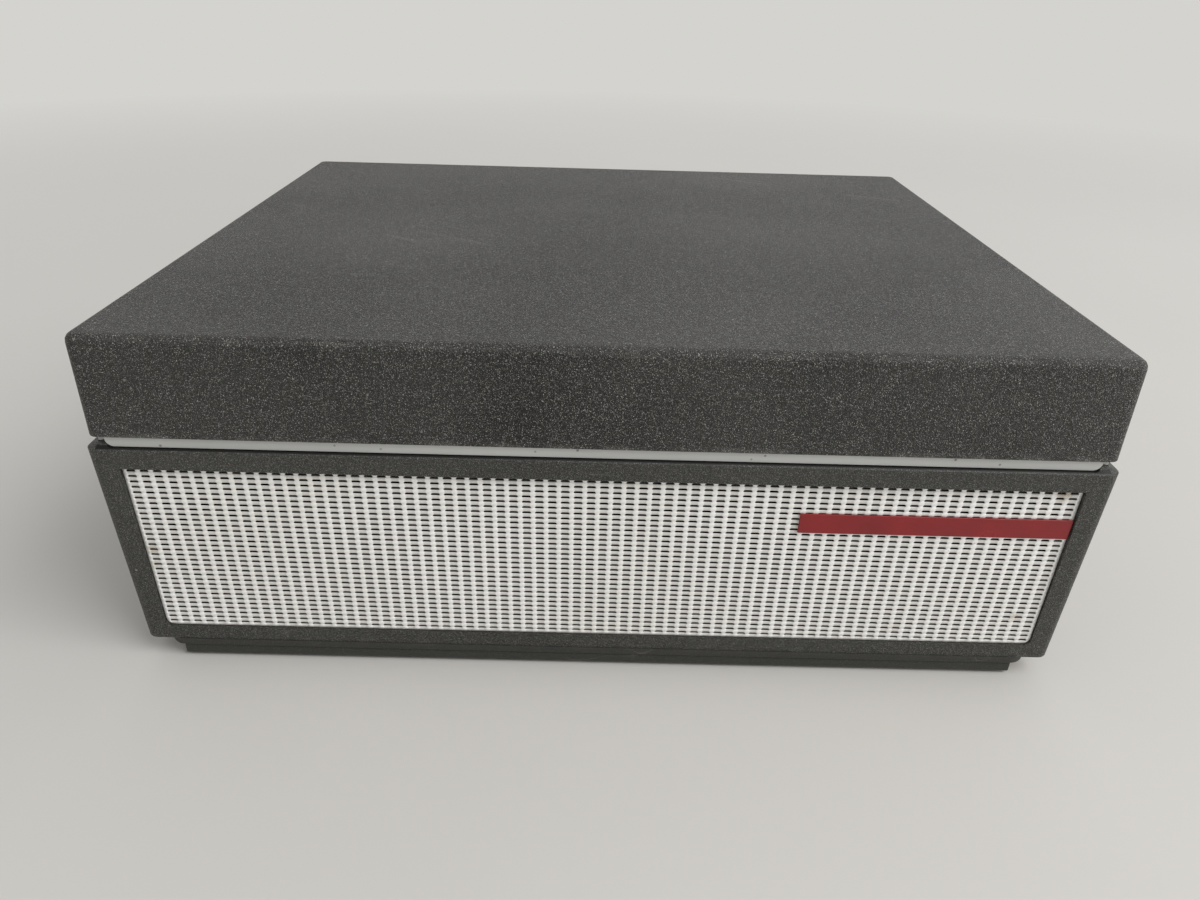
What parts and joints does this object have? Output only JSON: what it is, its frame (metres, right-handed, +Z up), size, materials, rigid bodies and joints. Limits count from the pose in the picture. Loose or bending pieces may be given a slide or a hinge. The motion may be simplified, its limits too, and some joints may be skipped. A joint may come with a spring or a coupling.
{
  "type": "reel-to-reel tape recorder",
  "caption": "Portable reel-to-reel tape recorder: hinged lid over the reels, heads, piano keys and knobs, dark case with a pale perforated front grille and a pull-out carrying handle",
  "frame": {"origin": "On the floor, under the middle of the machine's outside box", "axes": "+X to the right seen from the front, +Y to the back, +Z up"},
  "size_m": [0.38, 0.3142, 0.144],
  "materials": {
    "lid_plastic": "pebble grain, satin",
    "case_plastic": "fine grain, satin",
    "dark_plastic": "satin",
    "foot_plastic": "matt",
    "handle_metal": "semi-gloss enamel",
    "grille_metal": "white enamel",
    "badge_red": "gloss enamel",
    "deck_metal": "light grey enamel",
    "panel_aluminium": "brushed",
    "steel": "zinc plated",
    "polished_steel": "polished",
    "brass": "turned",
    "black_rubber": "matt",
    "reel_plastic": "smoky clear",
    "tape_film": "satin",
    "key_ivory": "gloss",
    "key_red": "gloss",
    "knob_plastic": "gloss",
    "needle_red": "enamel",
    "dial_plastic": "printed",
    "clear_window": "clear",
    "brake_felt": "felt-faced",
    "clutch_plastic": "moulded",
    "hardboard": "pressed",
    "speaker_paper": "pressed pulp",
    "board_phenolic": "phenolic",
    "iron": "laminated"
  },
  "bodies": {
    "case_body": {"body_shell": "case_plastic", "hinge_brackets": "steel", "bottom_cover": "dark_plastic", "feet": "foot_plastic", "front_grille": "grille_metal", "badge": "badge_red", "socket_panel": "dark_plastic", "sockets": "dark_plastic", "speaker_baffle": "hardboard", "speaker_frame": "steel", "speaker_cone": "speaker_paper", "chassis_plate": "steel", "pillars": "steel", "deck_plate": "deck_metal", "control_panel": "panel_aluminium", "screws": "polished_steel", "head_cover": "case_plastic", "head_bracket": "steel", "erase_head": "polished_steel", "record_play_head": "polished_steel", "tape_guides": "polished_steel", "tape_run": "tape_film", "bearings": "brass", "flywheel_bracket": "steel", "drive_belts": "black_rubber", "motor_body": "iron", "key_frame": "steel", "key_springs": "steel", "control_pots": "steel", "meter_housing": "dark_plastic", "meter_window": "clear_window", "circuit_board": "board_phenolic", "transformer": "iron"},
    "lid_body": {"lid": "lid_plastic", "lid_hinge_leaves": "steel"},
    "handle_body": {"handle_grip": "handle_metal", "handle_arms": "steel"},
    "supply_body": {"supply_turntable": "steel", "supply_reel": "reel_plastic", "supply_tape": "tape_film"},
    "takeup_body": {"takeup_turntable": "steel", "takeup_reel": "reel_plastic", "takeup_tape": "tape_film"},
    "clutch_body": {"takeup_clutch": "clutch_plastic"},
    "flywheel_body": {"flywheel": "iron", "capstan_shaft": "polished_steel"},
    "motor_body_turning": {"motor_rotor": "brass"},
    "supply_brake_body": {"supply_brake": "brake_felt"},
    "takeup_brake_body": {"takeup_brake": "brake_felt"},
    "pinch_arm_body": {"pinch_arm": "steel"},
    "pinch_roller_body": {"pinch_roller": "black_rubber"},
    "record_key_body": {"record_key": "key_red"},
    "rewind_key_body": {"rewind_key": "key_ivory"},
    "stop_key_body": {"stop_key": "key_ivory"},
    "start_key_body": {"start_key": "key_ivory"},
    "forward_key_body": {"forward_key": "key_ivory"},
    "volume_knob_body": {"volume_knob": "knob_plastic"},
    "tone_knob_body": {"tone_knob": "knob_plastic"},
    "needle_body": {"meter_needle": "needle_red"},
    "counter_body": {"counter_dial": "dial_plastic"}
  },
  "joints": [
    {"name": "lid_hinge", "type": "hinge", "parent": "case_body", "child": "lid_body", "pos_m": [0, 0.1531, 0.1051], "axis": [-1, 0, 0], "range_deg": [0, 100]},
    {"name": "handle_slide", "type": "slide", "parent": "case_body", "child": "handle_body", "axis": [0, -1, 0], "range_m": [0, 0.042]},
    {"name": "supply_spin", "type": "hinge", "parent": "case_body", "child": "supply_body", "pos_m": [-0.082, 0.0409, 0.1151], "axis": [0, 0, 1], "continuous": true},
    {"name": "takeup_spin", "type": "hinge", "parent": "case_body", "child": "takeup_body", "pos_m": [0.082, 0.0409, 0.1151], "axis": [0, 0, 1], "continuous": true},
    {"name": "clutch_spin", "type": "hinge", "parent": "case_body", "child": "clutch_body", "pos_m": [0.082, 0.0409, 0.0745], "axis": [0, 0, 1], "continuous": true},
    {"name": "flywheel_spin", "type": "hinge", "parent": "case_body", "child": "flywheel_body", "pos_m": [0.038, -0.07065, 0.0649], "axis": [0, 0, 1], "continuous": true},
    {"name": "motor_spin", "type": "hinge", "parent": "case_body", "child": "motor_body_turning", "pos_m": [0, 0.0909, 0.0649], "axis": [0, 0, 1], "continuous": true},
    {"name": "supply_brake_pivot", "type": "hinge", "parent": "case_body", "child": "supply_brake_body", "pos_m": [-0.13807, 0.04323, 0.0939], "axis": [0, 0, 1], "range_deg": [0, 5]},
    {"name": "takeup_brake_pivot", "type": "hinge", "parent": "case_body", "child": "takeup_brake_body", "pos_m": [0.13807, 0.04323, 0.0939], "axis": [0, 0, 1], "range_deg": [-5, 0]},
    {"name": "pinch_arm_pivot", "type": "hinge", "parent": "case_body", "child": "pinch_arm_body", "pos_m": [0.066, -0.08855, 0.10935], "axis": [0, 0, 1], "range_deg": [-10, 0]},
    {"name": "pinch_roller_spin", "type": "hinge", "parent": "pinch_arm_body", "child": "pinch_roller_body", "pos_m": [0.038, -0.08855, 0.1154], "axis": [0, 0, 1], "continuous": true},
    {"name": "record_key_press", "type": "hinge", "parent": "case_body", "child": "record_key_body", "pos_m": [0.08625, -0.0951, 0.0939], "axis": [1, 0, 0], "range_deg": [0, 5], "stiffness_Nm_per_rad": 0.3, "springref_deg": -11.46, "deforming": ["key_springs"]},
    {"name": "rewind_key_press", "type": "hinge", "parent": "case_body", "child": "rewind_key_body", "pos_m": [0.10675, -0.0951, 0.0939], "axis": [1, 0, 0], "range_deg": [0, 5], "stiffness_Nm_per_rad": 0.3, "springref_deg": -11.46, "deforming": ["key_springs"]},
    {"name": "stop_key_press", "type": "hinge", "parent": "case_body", "child": "stop_key_body", "pos_m": [0.12725, -0.0951, 0.0939], "axis": [1, 0, 0], "range_deg": [0, 5], "stiffness_Nm_per_rad": 0.3, "springref_deg": -11.46, "deforming": ["key_springs"]},
    {"name": "start_key_press", "type": "hinge", "parent": "case_body", "child": "start_key_body", "pos_m": [0.14775, -0.0951, 0.0939], "axis": [1, 0, 0], "range_deg": [0, 5], "stiffness_Nm_per_rad": 0.3, "springref_deg": -11.46, "deforming": ["key_springs"]},
    {"name": "forward_key_press", "type": "hinge", "parent": "case_body", "child": "forward_key_body", "pos_m": [0.16825, -0.0951, 0.0939], "axis": [1, 0, 0], "range_deg": [0, 5], "stiffness_Nm_per_rad": 0.3, "springref_deg": -11.46, "deforming": ["key_springs"]},
    {"name": "volume_turn", "type": "hinge", "parent": "case_body", "child": "volume_knob_body", "pos_m": [-0.064, -0.1271, 0.1125], "axis": [0, 0, 1], "range_deg": [-135, 135]},
    {"name": "tone_turn", "type": "hinge", "parent": "case_body", "child": "tone_knob_body", "pos_m": [0.006, -0.1271, 0.1125], "axis": [0, 0, 1], "range_deg": [-135, 135]},
    {"name": "needle_swing", "type": "hinge", "parent": "case_body", "child": "needle_body", "pos_m": [-0.138, -0.1351, 0.0974], "axis": [0, 0, 1], "range_deg": [-70, 0], "stiffness_Nm_per_rad": 0.0001, "springref_deg": 11.46},
    {"name": "counter_spin", "type": "hinge", "parent": "case_body", "child": "counter_body", "pos_m": [0, 0.0039, 0.0982], "axis": [0, 0, 1], "continuous": true}
  ],
  "couplings": [
    {"joint": "takeup_spin", "follows": "supply_spin", "ratio": 1.9375},
    {"joint": "counter_spin", "follows": "supply_spin", "ratio": 0.025},
    {"joint": "motor_spin", "follows": "flywheel_spin", "ratio": 4.7727},
    {"joint": "clutch_spin", "follows": "flywheel_spin", "ratio": 0.3571},
    {"joint": "pinch_arm_pivot", "follows": "start_key_press", "ratio": -2},
    {"joint": "supply_brake_pivot", "follows": "start_key_press", "ratio": 1},
    {"joint": "takeup_brake_pivot", "follows": "start_key_press", "ratio": -1}
  ]
}
